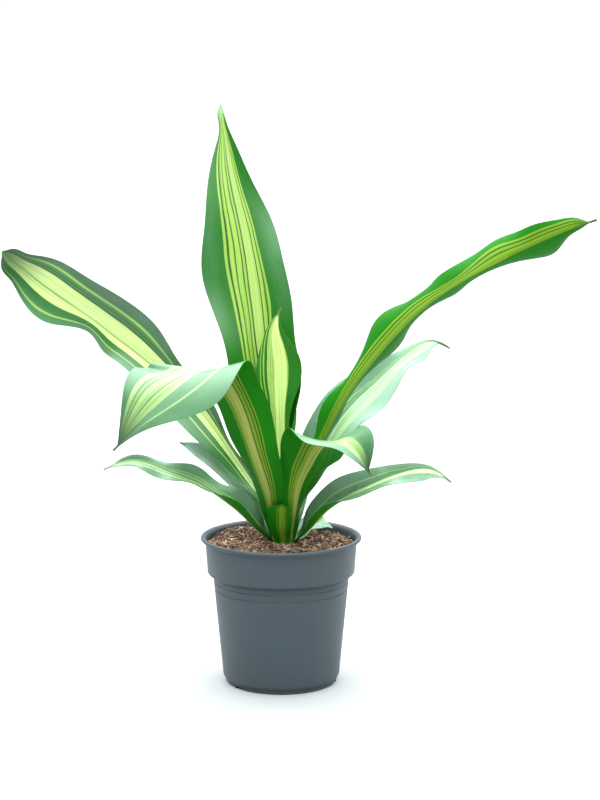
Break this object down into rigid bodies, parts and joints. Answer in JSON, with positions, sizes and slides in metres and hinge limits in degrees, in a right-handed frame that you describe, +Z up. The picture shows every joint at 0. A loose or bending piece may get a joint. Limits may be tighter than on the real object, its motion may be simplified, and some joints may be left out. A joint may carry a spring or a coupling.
{
  "type": "potted dracaena",
  "caption": "Potted dracaena: striped strap leaves rising from a short stem in a round nursery pot filled with bark potting mix.",
  "frame": {"origin": "middle of the pot's underside, on the floor", "axes": "+Z up along the pot's axis, +X to the viewer's right, -Y towards the viewer"},
  "size_m": [0.6112, 0.356, 0.6072],
  "materials": {
    "pot": "matte, finely speckled blue-grey plastic",
    "soil": "rough, damp bark chips and coir fibre",
    "stem": "matte green cane",
    "leaf": "glossy above and satin below, dark green with yellow-green bands along the midrib",
    "young leaf": "glossy, bright yellow-green band between green margins"
  },
  "bodies": {
    "root": {"pot": "pot", "soil": "soil", "stem": "stem", "leaf_tall": "leaf", "leaf_upper_left": "leaf", "leaf_bent_left": "leaf", "leaf_young": "young leaf", "leaf_upper_right": "leaf", "leaf_bent_right": "leaf", "leaf_right_back": "leaf", "leaf_low_right": "leaf", "leaf_low_left": "leaf", "leaf_left_back": "leaf", "leaf_front_short": "leaf", "leaf_rear_right": "leaf", "leaf_rear": "leaf"}
  },
  "joints": []
}
